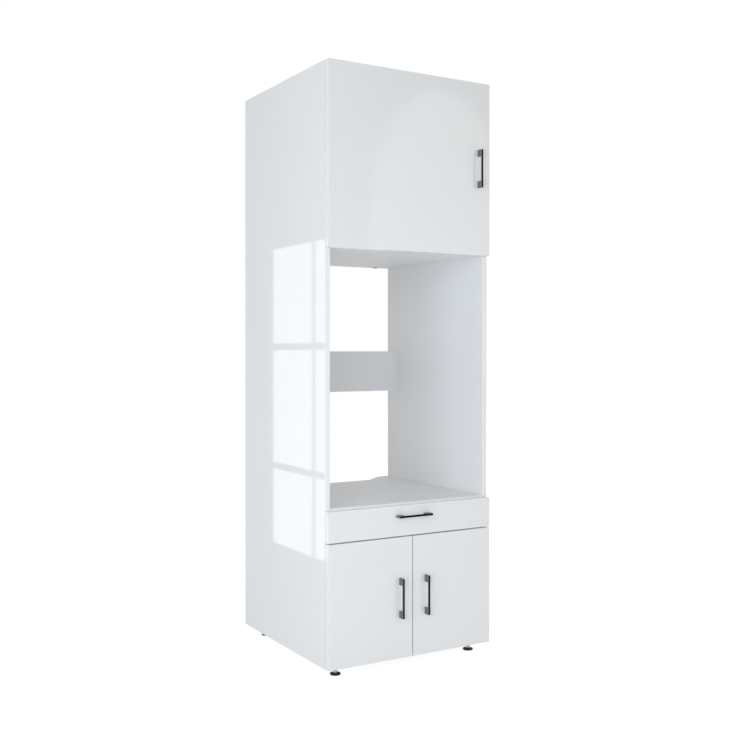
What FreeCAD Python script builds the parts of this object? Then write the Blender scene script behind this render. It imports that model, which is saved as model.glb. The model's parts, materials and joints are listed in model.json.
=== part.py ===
import FreeCAD, Part
import math
import os

from FreeCAD import Vector

# A tall cabinet with an open niche for a washing machine, a cupboard above it, and a drawer and a
# two-door cupboard below it. Sizes are in millimetres. The origin is on the floor under the middle
# of the outline, with +X to the right, +Y to the wall and +Z up. The fronts face -Y.

# Carcass boards
CABINET_WIDTH = 660.0  # over the side panels
CARCASS_HEIGHT = 2000.0  # bottom panel's underside to the top
CARCASS_DEPTH = 644.0  # side panel, front edge to rear edge
PANEL = 18.0  # laminated particle board
BACK_BOARD = 3.0  # hardboard of the backs and the drawer bottom
GROOVE_DEPTH = 6.0  # for the edges of the hardboard
FIT = 0.05  # around a fixed fitting in its hole, and a pin in its bearing
EDGE_PLAY = 0.5  # at the end of a hole or groove

# Fronts, and the heights that they set
LOWER_DOOR_HEIGHT = 411.0
DRAWER_FRONT_HEIGHT = 103.0
FLOOR_EDGE_SHOWING = 7.0  # niche floor's edge above the drawer front
NICHE_HEIGHT = 860.0  # clear, for the washing machine
FRONT_BOARD = 18.0
FRONT_GAP = 3.0  # fronts to carcass
FRONT_JOINT = 4.0  # between neighbouring fronts
SIDE_REVEAL = 1.0  # fronts stand in from the outer faces
FRONT_EDGE_ROUND = 1.0  # eased edges of the fronts

# Niche crossbar, hose cut-out, cable hole and back panels
CROSSBAR_HEIGHT = 160.0
CROSSBAR_ABOVE_FLOOR = 357.0
CROSSBAR_SETBACK = 51.0  # its rear face to the carcass rear
CUTOUT_DEPTH = 74.0
CUTOUT_WIDTH = 360.0  # at its front edge
CUTOUT_MOUTH = 534.0  # at the rear edge of the panel
UPPER_BACK_INSET = 7.0  # back panel's rear face to the carcass rear
LOWER_BACK_MARGIN = 10.0  # back panel's rear face to the hose cut-out
CABLE_HOLE_RADIUS = 13.0
CABLE_HOLE_SIDE_INSET = 77.0  # centre to the right side panel
CABLE_HOLE_REAR_INSET = 25.0  # centre to the carcass rear

# Cam fittings and dowels
JOINT_FRONT_INSET = 60.0  # front cam to the carcass front
JOINT_REAR_INSET = 150.0  # rear cam to the carcass rear
JOINT_PITCH = 32.0  # cam to dowel, and between shelf holes
CAM_RADIUS = 7.5
CAM_DEPTH = 13.5
CAM_SETBACK = 34.0  # cam centre to the end of its board
CAM_SLOT_LENGTH = 9.0  # crossed slots for the driver
CAM_SLOT_WIDTH = 1.4
CAM_SLOT_DEPTH = 1.5
BOLT_RADIUS = 3.0
BOLT_BITE = 11.0  # thread in the side panel
BOLT_PLAY = 0.5
DOWEL_RADIUS = 4.0
DOWEL_BITE = 10.0  # in the side panel or the drawer front
DOWEL_REACH = 24.0  # in the board that it holds

# Upper cupboard: shelf, its supports and the wall brackets
SHELF_PLAY = 1.0
SHELF_FRONT_INSET = 22.0
PIN_RADIUS = 2.5
PIN_BITE = 8.0
PIN_ROW_INSET = 37.0  # hole rows to the carcass front, and to the back panel
SPARE_PIN_HOLES = 3  # above and below each support
TAB_REACH = 9.0  # support's tab, out from the side
TAB_WIDTH = 8.0
TAB_THICKNESS = 2.5
BRACKET_SIDE_INSET = 82.0  # bracket's middle to the side panel
BRACKET_LEG = 40.0
BRACKET_WIDTH = 25.0
BRACKET_STEEL = 2.0
BRACKET_HOLE = 24.0  # bend to hole, on both legs
WALL_HOLE_RADIUS = 3.0

# Levelling feet
FOOT_HEIGHT = 33.0  # floor to the underside of the carcass
FOOT_SIDE_INSET = 57.0
FOOT_FRONT_INSET = 34.0
FOOT_REAR_INSET = 68.0
FOOT_RADIUS = 18.0
FOOT_RIM = 5.0
FOOT_RIM_ROUND = 1.5
BOSS_LOW_RADIUS = 11.0
BOSS_TOP_RADIUS = 9.5
BOSS_HEIGHT = 1.5
STUD_RADIUS = 4.0
COLLAR_FLATS = 13.0  # across the flats of the hexagon on the stud
COLLAR_HEIGHT = 8.0
STUD_BASE = 3.0  # steel starts this far above the floor
STUD_BITE = 13.0  # thread in the carcass
INSERT_RADIUS = 6.0
INSERT_LENGTH = 16.0
INSERT_FLANGE_RADIUS = 11.0
INSERT_FLANGE_THICKNESS = 1.5

# Bridge handles
HANDLE_LENGTH = 136.0
HANDLE_FOOT = 24.0  # each foot, along the bar
HANDLE_WIDTH = 7.0
HANDLE_BAR = 5.0  # thickness of the bar
HANDLE_PROJECTION = 25.0
HANDLE_OUTER_ROUND = 2.5
HANDLE_INNER_ROUND = 1.5
HANDLE_EASE = 0.8  # long edges
HANDLE_EDGE = 50.0  # door's free edge to the handle
DRAWER_HANDLE_DROP = 35.0  # below the top of the drawer front
SCREW_RADIUS = 2.0
SCREW_PLAY = 0.3
SCREW_BITE = 11.0
SCREW_HEAD_RADIUS = 4.0
SCREW_HEAD_HEIGHT = 2.2

# Cup hinges with one pivot, drawn in plan from the hung edge of the door: x goes across the door,
# and y from its inner face into the cabinet
HINGE_INSET = 80.0  # hinge to the top or bottom edge of its door
CUP_RADIUS = 17.5
CUP_DEPTH = 13.0
CUP_WALL = 0.8
CUP_EDGE = 3.0  # wood between the cup and the door's edge
CUP_FLANGE_WIDTH = 22.0  # across the door
CUP_FLANGE_LENGTH = 62.0
CUP_FLANGE_THICKNESS = 1.2
CUP_SCREW_SPACING = 48.0
CUP_SCREW_OFFSET = 7.0  # from the cup's centre, away from the hung edge
CUP_SCREW_RADIUS = 1.75
CUP_SCREW_HEAD = 3.0
CUP_SCREW_LENGTH = 12.0
HINGE_PIN_RADIUS = 1.2
HINGE_PIN_INSET = 4.2  # from the cup's rim
HINGE_PIN_RISE = 3.8  # above the cup's base
ARM_EYE_RADIUS = 2.4
ARM_STRIP = 2.0
ARM_NOSE_WIDTH = 9.0
NECK_BELOW_PIN = 1.3  # strip's lower face below the pin
NECK_OUTER_ROUND = 3.2
NECK_INNER_ROUND = 1.2
NECK_CLEARANCE = 1.3  # neck to the side panel
ARM_WIDTH = 13.0
ARM_HEIGHT = 7.0  # over its plate
ARM_LENGTH = 52.0
ARM_START = 6.0  # behind the carcass front
ARM_SCREW_RADIUS = 3.2
ARM_SCREW_RISE = 1.6
ARM_SCREW_FIRST = 14.0  # along the arm
ARM_SCREW_PITCH = 22.0
PLATE_THICKNESS = 3.0
PLATE_DEPTH = 34.0
PLATE_LENGTH = 46.0
PLATE_ROW = 37.0  # screws behind the carcass front
PLATE_SCREW_PITCH = 32.0
PLATE_SCREW_RADIUS = 2.5
PLATE_SCREW_HEAD = 4.0
PLATE_SCREW_BITE = 11.0
PLATE_SCREW_RISE = 1.5

# Drawer box and its roller runners
DRAWER_BOARD = 12.0
DRAWER_LIFT = 10.0  # drawer side above the divider
DRAWER_SIDE_HEIGHT = 62.0
DRAWER_BOTTOM_UP = 8.0  # hardboard above the drawer side's lower edge
DRAWER_FIXING_LOW = 24.0  # dowels and screws above the side's lower edge
DRAWER_FIXING_TOP = 14.0  # and below its upper edge
DRAWER_SCREW_RADIUS = 2.5
DRAWER_SCREW_HEAD = 4.5
DRAWER_SCREW_LENGTH = 38.0
DRAWER_REAR_SPACE = 57.0  # drawer back to the lower back panel
RUNNER_SPACE = 12.5  # drawer side to side panel
RUNNER_STEEL = 1.2
RAIL_HEIGHT = 30.0
RAIL_DROP = 4.0  # cabinet rail below the drawer side
RAIL_FLANGE = 10.3  # out from the side panel
RAIL_SCREW_FIRST = 60.0  # behind the carcass front
RAIL_SCREW_LAST = 100.0  # before the rail's rear end
RAIL_SCREW_DROP = 5.0  # below the rail's upper edge
ROLLER_RADIUS = 8.0
ROLLER_WIDTH = 7.0
ROLLER_START = 2.6  # roller's outer face from the side panel
ROLLER_LIFT = 0.8  # front roller above the cabinet rail
ROLLER_GAP = 0.3  # roller to the rail that runs on it
ROLLER_INSET = 13.0  # roller axis to the end of its rail
ROLLER_PIN_RADIUS = 2.0

# Places worked out from the sizes
X_OUT = CABINET_WIDTH / 2
X_IN = X_OUT - PANEL
X_DOOR_EDGE = -X_OUT + SIDE_REVEAL  # hung edge of the left-hand doors
Y_BACK = (HANDLE_PROJECTION + FRONT_BOARD + FRONT_GAP + CARCASS_DEPTH) / 2
Y_FRONT = Y_BACK - CARCASS_DEPTH
Y_DOOR_BACK = Y_FRONT - FRONT_GAP
Y_DOOR_FRONT = Y_DOOR_BACK - FRONT_BOARD
Y_CUTOUT = Y_BACK - CUTOUT_DEPTH
Y_UPPER_BACK = Y_BACK - UPPER_BACK_INSET - BACK_BOARD
Y_LOWER_BACK = Y_CUTOUT - LOWER_BACK_MARGIN - BACK_BOARD
Y_RUNNER_END = Y_LOWER_BACK - DRAWER_REAR_SPACE
Z_BOTTOM = FOOT_HEIGHT
Z_TOP = Z_BOTTOM + CARCASS_HEIGHT
Z_TOP_BOARD = Z_TOP - PANEL
Z_DOOR_TOP = Z_BOTTOM + LOWER_DOOR_HEIGHT
Z_DRAWER = Z_DOOR_TOP + FRONT_JOINT
Z_DRAWER_TOP = Z_DRAWER + DRAWER_FRONT_HEIGHT
Z_FLOOR = Z_DRAWER_TOP + FLOOR_EDGE_SHOWING  # top of the niche floor
Z_CEILING = Z_FLOOR + NICHE_HEIGHT  # underside of the niche ceiling
Z_UPPER = Z_CEILING + PANEL  # floor of the upper cupboard
Z_DIVIDER = Z_DOOR_TOP + FRONT_JOINT / 2 - PANEL / 2
Z_DRAWER_SIDE = Z_DIVIDER + PANEL + DRAWER_LIFT
BRACKET_PLACES = (BRACKET_SIDE_INSET - X_IN, X_IN - BRACKET_SIDE_INSET)
Y_BRACKET_SCREW = Y_UPPER_BACK - BRACKET_HOLE
Z_WALL_HOLE = Z_TOP_BOARD - BRACKET_HOLE
SIDE_FACE = PANEL - SIDE_REVEAL  # side panel's inner face in the plan of a hinge
CUP_CENTRE = CUP_EDGE + CUP_RADIUS
PIN_X = CUP_EDGE + HINGE_PIN_INSET
PIN_Y = HINGE_PIN_RISE - CUP_DEPTH

nodes = {}
side_cuts = {-1: [], 1: []}  # borings and grooves of the left and right side panels
cams, bolts, dowels = [], [], []


def block(x, y, z):
    """A box from three (low, high) pairs."""
    return Part.makeBox(x[1] - x[0], y[1] - y[0], z[1] - z[0], Vector(x[0], y[0], z[0]))


def x_rod(radius, x, y, z):
    """A round bar along X, between the two values of x."""
    return Part.makeCylinder(radius, abs(x[1] - x[0]), Vector(min(x), y, z), Vector(1, 0, 0))


def y_rod(radius, x, y, z):
    """A round bar along Y, between the two values of y."""
    return Part.makeCylinder(radius, abs(y[1] - y[0]), Vector(x, min(y), z), Vector(0, 1, 0))


def z_rod(radius, x, y, z):
    """A round bar along Z, between the two values of z."""
    return Part.makeCylinder(radius, abs(z[1] - z[0]), Vector(x, y, min(z)))


def z_hexagon(flats, x, y, z):
    """An upright hexagonal prism, by the size across its flats."""
    reach = flats / math.sqrt(3)
    turns = [math.pi / 3 * corner for corner in range(6)]
    points = [Vector(x + reach * math.cos(a), y + reach * math.sin(a), z[0]) for a in turns]
    return Part.Face(Part.makePolygon(points + points[:1])).extrude(Vector(0, 0, z[1] - z[0]))


def prism(face, height):
    """A flat face in the XY plane, thickened to half the height on each side of it."""
    solid = face.extrude(Vector(0, 0, height))
    solid.translate(Vector(0, 0, -height / 2))
    return solid


def rounded_face(corners):
    """A flat face in the XY plane from (x, y, corner radius) points, in order round it."""
    turns = []
    for i, (x, y, radius) in enumerate(corners):
        here = Vector(x, y)
        to_last = (Vector(*corners[i - 1][:2]) - here).normalize()
        to_next = (Vector(*corners[(i + 1) % len(corners)][:2]) - here).normalize()
        half = to_last.getAngle(to_next) / 2
        reach = radius / math.tan(half)
        inward = (to_last + to_next).normalize()
        middle = here + inward * (radius / math.sin(half) - radius)
        turns.append((here + to_last * reach, middle, here + to_next * reach, radius))
    edges = []
    for i, (enter, middle, leave, radius) in enumerate(turns):
        if radius > 0:
            edges.append(Part.Arc(enter, middle, leave).toShape())
        edges.append(Part.LineSegment(leave, turns[(i + 1) % len(turns)][0]).toShape())
    return Part.Face(Part.Wire(edges))


def joined(first, *others):
    """One solid from touching or overlapping ones."""
    return first.fuse(list(others)).removeSplitter()


def mirrored(shape):
    """The same piece on the other side of the cabinet."""
    return shape.mirror(Vector(0, 0, 0), Vector(1, 0, 0))


def add(name, *shapes):
    """Keep the solids of one node."""
    solids = [solid for shape in shapes for solid in shape.Solids]
    nodes[name] = solids[0] if len(solids) == 1 else Part.makeCompound(solids)


def cam_fitting(y, z, side, cam_axis):
    """One cam and its bolt on the middle plane of a board's end, with the borings in the board."""
    end, cam_x = side * X_IN, side * (X_IN - CAM_SETBACK)
    face = Vector(cam_x, y, z) + cam_axis * (PANEL / 2)
    hole = Part.makeCylinder(CAM_RADIUS, CAM_DEPTH, face, cam_axis * -1)
    channel = x_rod(BOLT_RADIUS + BOLT_PLAY, (end, cam_x), y, z)
    cam = Part.makeCylinder(CAM_RADIUS - FIT, CAM_DEPTH - EDGE_PLAY, face, cam_axis * -1)
    half_length, half_width = CAM_SLOT_LENGTH / 2, CAM_SLOT_WIDTH / 2
    depth = (-CAM_SLOT_DEPTH, CAM_SLOT_DEPTH)
    slots = [
        block((-half_length, half_length), (-half_width, half_width), depth),
        block((-half_width, half_width), (-half_length, half_length), depth),
    ]
    for slot in slots:
        slot.Placement = FreeCAD.Placement(face, FreeCAD.Rotation(Vector(0, 0, 1), cam_axis))
    cams.append(cam.cut([channel] + slots))
    bolts.append(x_rod(BOLT_RADIUS, (end + side * BOLT_BITE, cam_x + side * EDGE_PLAY), y, z))
    side_cuts[side].append(x_rod(BOLT_RADIUS + FIT, (end, end + side * (BOLT_BITE + EDGE_PLAY)), y, z))
    return [hole, channel]


def dowel_joint(y, z, side):
    """One dowel between a board's end and a side panel, with its boring in the board."""
    end = side * X_IN
    dowels.append(x_rod(DOWEL_RADIUS, (end + side * DOWEL_BITE, end - side * DOWEL_REACH), y, z))
    in_side = (end, end + side * (DOWEL_BITE + EDGE_PLAY))
    side_cuts[side].append(x_rod(DOWEL_RADIUS + FIT, in_side, y, z))
    return x_rod(DOWEL_RADIUS + FIT, (end, end - side * (DOWEL_REACH + EDGE_PLAY)), y, z)


def joined_board(board, cam_points, dowel_points, cam_axis, other_cuts=()):
    """A board between the side panels, bored at both ends for its fittings."""
    cuts = list(other_cuts)
    for side in (-1, 1):
        for y, z in cam_points:
            cuts += cam_fitting(y, z, side, cam_axis)
        for y, z in dowel_points:
            cuts.append(dowel_joint(y, z, side))
    return board.cut(cuts)


def level_board(z, y_rear, cam_axis, cuts=()):
    """A level board between the sides with its underside at z."""
    board = block((-X_IN, X_IN), (Y_FRONT, y_rear), (z, z + PANEL))
    first, last = Y_FRONT + JOINT_FRONT_INSET, Y_BACK - JOINT_REAR_INSET
    middle = z + PANEL / 2
    cam_points = [(first, middle), (last, middle)]
    dowel_points = [(first + JOINT_PITCH, middle), (last - JOINT_PITCH, middle)]
    return joined_board(board, cam_points, dowel_points, cam_axis, cuts)


def hose_cutout(z):
    """The tapered cut at the rear of a level board whose underside is at z."""
    past = Y_BACK + CUTOUT_DEPTH
    front = CUTOUT_WIDTH / 2
    rear = CUTOUT_MOUTH - front
    points = [Vector(-front, Y_CUTOUT, z), Vector(front, Y_CUTOUT, z)]
    points += [Vector(rear, past, z), Vector(-rear, past, z)]
    return Part.Face(Part.makePolygon(points + points[:1])).extrude(Vector(0, 0, PANEL))


def back_panel(name, y, z_low, z_high, holes=()):
    """A hardboard back between two level boards. Returns the cut that makes its grooves."""
    reach = GROOVE_DEPTH - EDGE_PLAY
    half, edge = X_IN + reach, X_IN + GROOVE_DEPTH
    sheet = block((-half, half), (y, y + BACK_BOARD), (z_low - reach, z_high + reach))
    add(name, sheet.cut(list(holes)) if holes else sheet)
    slot = (y - FIT, y + BACK_BOARD + FIT)
    groove = block((-edge, edge), slot, (z_low - GROOVE_DEPTH, z_high + GROOVE_DEPTH))
    for side in (-1, 1):
        side_cuts[side].append(groove)
    return groove


def carcass_boards():
    """The level boards, the crossbar and the two backs."""
    up, down, rearward = Vector(0, 0, 1), Vector(0, 0, -1), Vector(0, 1, 0)
    through_back = (Y_UPPER_BACK, Y_UPPER_BACK + BACK_BOARD)
    wall_holes = [y_rod(WALL_HOLE_RADIUS, x, through_back, Z_WALL_HOLE) for x in BRACKET_PLACES]
    upper = back_panel("upper_back_panel", Y_UPPER_BACK, Z_UPPER, Z_TOP_BOARD, wall_holes)
    z_floor_board = Z_FLOOR - PANEL
    lower = back_panel("lower_back_panel", Y_LOWER_BACK, Z_BOTTOM + PANEL, z_floor_board)

    top_cuts = [upper] + [bracket_screw_hole(x) for x in BRACKET_PLACES]
    add("top_panel", level_board(Z_TOP_BOARD, Y_BACK, down, top_cuts))
    cable_x, cable_y = X_IN - CABLE_HOLE_SIDE_INSET, Y_BACK - CABLE_HOLE_REAR_INSET
    cable_hole = z_rod(CABLE_HOLE_RADIUS, cable_x, cable_y, (Z_CEILING, Z_UPPER))
    add("niche_ceiling", level_board(Z_CEILING, Y_BACK, up, [upper, cable_hole]))
    floor_cuts = [lower, hose_cutout(z_floor_board)]
    add("niche_floor", level_board(z_floor_board, Y_BACK, down, floor_cuts))
    add("drawer_divider", level_board(Z_DIVIDER, Y_LOWER_BACK, down))
    through_bottom = (Z_BOTTOM, Z_BOTTOM + PANEL)
    foot_holes = [z_rod(INSERT_RADIUS + FIT, x, y, through_bottom) for x, y in foot_places().values()]
    bottom_cuts = [lower, hose_cutout(Z_BOTTOM)] + foot_holes
    add("bottom_panel", level_board(Z_BOTTOM, Y_BACK, down, bottom_cuts))

    z_bar = Z_FLOOR + CROSSBAR_ABOVE_FLOOR
    y_bar = Y_BACK - CROSSBAR_SETBACK
    bar = block((-X_IN, X_IN), (y_bar - PANEL, y_bar), (z_bar, z_bar + CROSSBAR_HEIGHT))
    y_middle, z_middle = y_bar - PANEL / 2, z_bar + CROSSBAR_HEIGHT / 2
    bar_dowels = [(y_middle, z_middle - JOINT_PITCH), (y_middle, z_middle + JOINT_PITCH)]
    add("niche_crossbar", joined_board(bar, [(y_middle, z_middle)], bar_dowels, rearward))


def shelf_and_supports():
    """The loose shelf of the upper cupboard on four supports, with spare holes."""
    z_shelf = (Z_UPPER + Z_TOP_BOARD) / 2
    half = X_IN - SHELF_PLAY
    shelf_y = (Y_FRONT + SHELF_FRONT_INSET, Y_UPPER_BACK - SHELF_PLAY)
    add("upper_shelf", block((-half, half), shelf_y, (z_shelf, z_shelf + PANEL)))
    z_pin = z_shelf - TAB_THICKNESS / 2 - PIN_RADIUS
    supports = []
    for side in (-1, 1):
        face, tab_end = side * X_IN, side * (X_IN - TAB_REACH)
        for y in (Y_FRONT + PIN_ROW_INSET, Y_UPPER_BACK - PIN_ROW_INSET):
            across = (y - TAB_WIDTH / 2, y + TAB_WIDTH / 2)
            tab = block(sorted((face, tab_end)), across, (z_shelf - TAB_THICKNESS, z_shelf))
            pin = x_rod(PIN_RADIUS, (face + side * PIN_BITE, tab_end), y, z_pin)
            supports.append(joined(tab, pin))
            for step in range(-SPARE_PIN_HOLES, SPARE_PIN_HOLES + 1):
                depth = (face, face + side * (PIN_BITE + EDGE_PLAY))
                side_cuts[side].append(x_rod(PIN_RADIUS + FIT, depth, y, z_pin + step * JOINT_PITCH))
    add("shelf_supports", *supports)


def bracket_screw_hole(x):
    """The hole for a bracket's own screw, through the bracket and up into the top panel."""
    span = (Z_TOP_BOARD - BRACKET_STEEL, Z_TOP_BOARD + SCREW_BITE + EDGE_PLAY)
    return z_rod(SCREW_RADIUS + FIT, x, Y_BRACKET_SCREW, span)


def wall_brackets():
    """Two steel angles under the top panel that hold the cabinet to the wall."""
    brackets, screws = [], []
    seat = Z_TOP_BOARD - BRACKET_STEEL
    inner_face = Y_UPPER_BACK - BRACKET_STEEL
    for x in BRACKET_PLACES:
        across = (x - BRACKET_WIDTH / 2, x + BRACKET_WIDTH / 2)
        level = block(across, (Y_UPPER_BACK - BRACKET_LEG, Y_UPPER_BACK), (seat, Z_TOP_BOARD))
        upright = block(across, (inner_face, Y_UPPER_BACK), (Z_TOP_BOARD - BRACKET_LEG, Z_TOP_BOARD))
        wall_hole = y_rod(WALL_HOLE_RADIUS, x, (inner_face, Y_UPPER_BACK), Z_WALL_HOLE)
        brackets.append(joined(level, upright).cut([wall_hole, bracket_screw_hole(x)]))
        head = z_rod(SCREW_HEAD_RADIUS, x, Y_BRACKET_SCREW, (seat - SCREW_HEAD_HEIGHT, seat))
        shank = z_rod(SCREW_RADIUS, x, Y_BRACKET_SCREW, (seat, Z_TOP_BOARD + SCREW_BITE))
        screws.append(joined(head, shank))
    add("wall_brackets", *brackets)
    add("wall_bracket_screws", *screws)


def foot_places():
    """The four feet by name, with the X and Y of each stud."""
    across = X_OUT - FOOT_SIDE_INSET
    front, rear = Y_FRONT + FOOT_FRONT_INSET, Y_BACK - FOOT_REAR_INSET
    return {
        "front_left": (-across, front),
        "front_right": (across, front),
        "rear_left": (-across, rear),
        "rear_right": (across, rear),
    }


def levelling_feet():
    """Screw feet: a moulded pad on a steel stud with a hexagon for a spanner, which turns in an
    insert in the bottom panel."""
    inserts = []
    stud_span = (STUD_BASE, Z_BOTTOM + STUD_BITE)
    flange_span = (Z_BOTTOM - INSERT_FLANGE_THICKNESS, Z_BOTTOM)
    insert_top = Z_BOTTOM + INSERT_LENGTH
    collar_base = FOOT_RIM + BOSS_HEIGHT + FIT
    for name, (x, y) in foot_places().items():
        rim = z_rod(FOOT_RADIUS, x, y, (0, FOOT_RIM))
        top_edges = [edge for edge in rim.Edges if edge.BoundBox.ZMin > FOOT_RIM - FIT]
        rim = rim.makeFillet(FOOT_RIM_ROUND, top_edges)
        boss = Part.makeCone(BOSS_LOW_RADIUS, BOSS_TOP_RADIUS, BOSS_HEIGHT, Vector(x, y, FOOT_RIM))
        stud_hole = z_rod(STUD_RADIUS + FIT, x, y, stud_span)
        add(name + "_foot_pad", joined(rim, boss).cut(stud_hole))
        stud = z_rod(STUD_RADIUS, x, y, stud_span)
        collar = z_hexagon(COLLAR_FLATS, x, y, (collar_base, collar_base + COLLAR_HEIGHT))
        add(name + "_foot_stud", joined(stud, collar))
        flange = z_rod(INSERT_FLANGE_RADIUS, x, y, flange_span)
        sleeve = z_rod(INSERT_RADIUS, x, y, (Z_BOTTOM, insert_top))
        bore = z_rod(STUD_RADIUS + FIT, x, y, (flange_span[0], insert_top))
        inserts.append(joined(flange, sleeve).cut(bore))
    add("foot_inserts", *inserts)


def bridge_handle(x, z, upright):
    """A bridge handle on a front at (x, z): the handle, its screws and the holes in the front."""
    half, grip = HANDLE_LENGTH / 2, HANDLE_PROJECTION - HANDLE_BAR
    inside = half - HANDLE_FOOT
    side_view = rounded_face([
        (-half, 0, 0),
        (-inside, 0, 0),
        (-inside, grip, HANDLE_INNER_ROUND),
        (inside, grip, HANDLE_INNER_ROUND),
        (inside, 0, 0),
        (half, 0, 0),
        (half, HANDLE_PROJECTION, HANDLE_OUTER_ROUND),
        (-half, HANDLE_PROJECTION, HANDLE_OUTER_ROUND),
    ])
    handle = prism(side_view, HANDLE_WIDTH)
    eased = [e for e in handle.Edges if e.BoundBox.ZLength < FIT and e.BoundBox.YMax > FIT]
    handle = handle.makeFillet(HANDLE_EASE, eased)
    holes, screws = [], []
    for u in (HANDLE_FOOT / 2 - half, half - HANDLE_FOOT / 2):
        handle = handle.cut(y_rod(SCREW_RADIUS + FIT, u, (0, SCREW_BITE + EDGE_PLAY), 0))
        holes.append(y_rod(SCREW_RADIUS + SCREW_PLAY, u, (-FRONT_BOARD, 0), 0))
        shank = y_rod(SCREW_RADIUS, u, (-FRONT_BOARD, SCREW_BITE), 0)
        head = y_rod(SCREW_HEAD_RADIUS, u, (-FRONT_BOARD - SCREW_HEAD_HEIGHT, -FRONT_BOARD), 0)
        screws.append(joined(shank, head))
    for shape in [handle] + holes + screws:
        shape.rotate(Vector(0, 0, 0), Vector(1, 0, 0), 180)
        if upright:
            shape.rotate(Vector(0, 0, 0), Vector(0, 1, 0), 90)
        shape.translate(Vector(x, Y_DOOR_FRONT, z))
    return handle, screws, holes


def front_board(x, z):
    """A door or drawer front with eased front edges."""
    board = block(x, (Y_DOOR_FRONT, Y_DOOR_BACK), z)
    face_edges = [edge for edge in board.Edges if edge.BoundBox.YMax < Y_DOOR_FRONT + FIT]
    return board.makeFillet(FRONT_EDGE_ROUND, face_edges)


def sunk_head(head, shank, start, depth):
    """The tapered head of a countersunk screw, from its rim into the work."""
    return Part.makeCone(head, shank, depth.Length, start, depth)


def hinge_cup():
    """The cup of a hinge with its flange and pin, its screws, and the borings in the door."""
    wall = y_rod(CUP_RADIUS - FIT, CUP_CENTRE, (-CUP_DEPTH, 0), 0)
    half_width, half_length = CUP_FLANGE_WIDTH / 2, CUP_FLANGE_LENGTH / 2
    flange_x = (CUP_CENTRE - half_width, CUP_CENTRE + half_width)
    flange = block(flange_x, (0, CUP_FLANGE_THICKNESS), (-half_length, half_length))
    hollow_y = (CUP_WALL - CUP_DEPTH, CUP_FLANGE_THICKNESS)
    hollow = y_rod(CUP_RADIUS - CUP_WALL, CUP_CENTRE, hollow_y, 0)
    pin = z_rod(HINGE_PIN_RADIUS, PIN_X, PIN_Y, (-CUP_RADIUS, CUP_RADIUS)).common(wall)
    cup = joined(joined(wall, flange).cut(hollow), pin)
    screws, borings = [], [y_rod(CUP_RADIUS, CUP_CENTRE, (-CUP_DEPTH, 0), 0)]
    x = CUP_CENTRE + CUP_SCREW_OFFSET
    drop = Vector(0, -CUP_FLANGE_THICKNESS, 0)
    for z in (-CUP_SCREW_SPACING / 2, CUP_SCREW_SPACING / 2):
        start = Vector(x, CUP_FLANGE_THICKNESS, z)
        shank = y_rod(CUP_SCREW_RADIUS, x, (-CUP_SCREW_LENGTH, CUP_FLANGE_THICKNESS), z)
        screws.append(joined(shank, sunk_head(CUP_SCREW_HEAD, CUP_SCREW_RADIUS, start, drop)))
        cup = cup.cut(sunk_head(CUP_SCREW_HEAD + FIT, CUP_SCREW_RADIUS + FIT, start, drop))
        borings.append(y_rod(CUP_SCREW_RADIUS + FIT, x, (-CUP_SCREW_LENGTH - EDGE_PLAY, 0), z))
    return cup, screws, borings


def hinge_arm():
    """The arm that carries the cup's pin: an eye, a neck round the door's edge and a body."""
    neck_x, neck_y = SIDE_FACE + NECK_CLEARANCE, PIN_Y - NECK_BELOW_PIN
    start = FRONT_GAP + ARM_START
    neck_end = start + ARM_HEIGHT
    neck = prism(rounded_face([
        (PIN_X, neck_y, 0),
        (neck_x + ARM_STRIP, neck_y, NECK_OUTER_ROUND),
        (neck_x + ARM_STRIP, neck_end, 0),
        (neck_x, neck_end, 0),
        (neck_x, neck_y + ARM_STRIP, NECK_INNER_ROUND),
        (PIN_X, neck_y + ARM_STRIP, 0),
    ]), ARM_NOSE_WIDTH)
    seat = SIDE_FACE + PLATE_THICKNESS
    top = seat + ARM_HEIGHT
    body = prism(rounded_face([
        (neck_x, start, 0),
        (seat + ARM_HEIGHT / 2, start, 0),
        (top, start + ARM_HEIGHT / 2, ARM_STRIP),
        (top, start + ARM_LENGTH, ARM_STRIP),
        (seat, start + ARM_LENGTH, 0),
        (seat, neck_end + ARM_STRIP, 0),
        (neck_x, neck_end, 0),
    ]), ARM_WIDTH)
    half_nose = (-ARM_NOSE_WIDTH / 2, ARM_NOSE_WIDTH / 2)
    pieces = [body, z_rod(ARM_EYE_RADIUS, PIN_X, PIN_Y, half_nose)]
    for step in range(2):
        y = start + ARM_SCREW_FIRST + step * ARM_SCREW_PITCH
        pieces.append(x_rod(ARM_SCREW_RADIUS, (top, top + ARM_SCREW_RISE), y, 0))
    return joined(neck, *pieces).cut(z_rod(HINGE_PIN_RADIUS + FIT, PIN_X, PIN_Y, half_nose))


def hinge_plate():
    """The plate under a hinge arm, its screws, and their borings in the side panel."""
    top = SIDE_FACE + PLATE_THICKNESS
    row = FRONT_GAP + PLATE_ROW
    half_length = PLATE_LENGTH / 2
    depth = (row - PLATE_DEPTH / 2, row + PLATE_DEPTH / 2)
    plate = block((SIDE_FACE, top), depth, (-half_length, half_length))
    end = SIDE_FACE - PLATE_SCREW_BITE
    screws, borings = [], []
    for z in (-PLATE_SCREW_PITCH / 2, PLATE_SCREW_PITCH / 2):
        shank = x_rod(PLATE_SCREW_RADIUS, (end, top), row, z)
        screws.append(joined(shank, x_rod(PLATE_SCREW_HEAD, (top, top + PLATE_SCREW_RISE), row, z)))
        plate = plate.cut(x_rod(PLATE_SCREW_RADIUS + FIT, (SIDE_FACE, top), row, z))
        borings.append(x_rod(PLATE_SCREW_RADIUS + FIT, (end - EDGE_PLAY, SIDE_FACE), row, z))
    return plate, screws, borings


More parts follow.
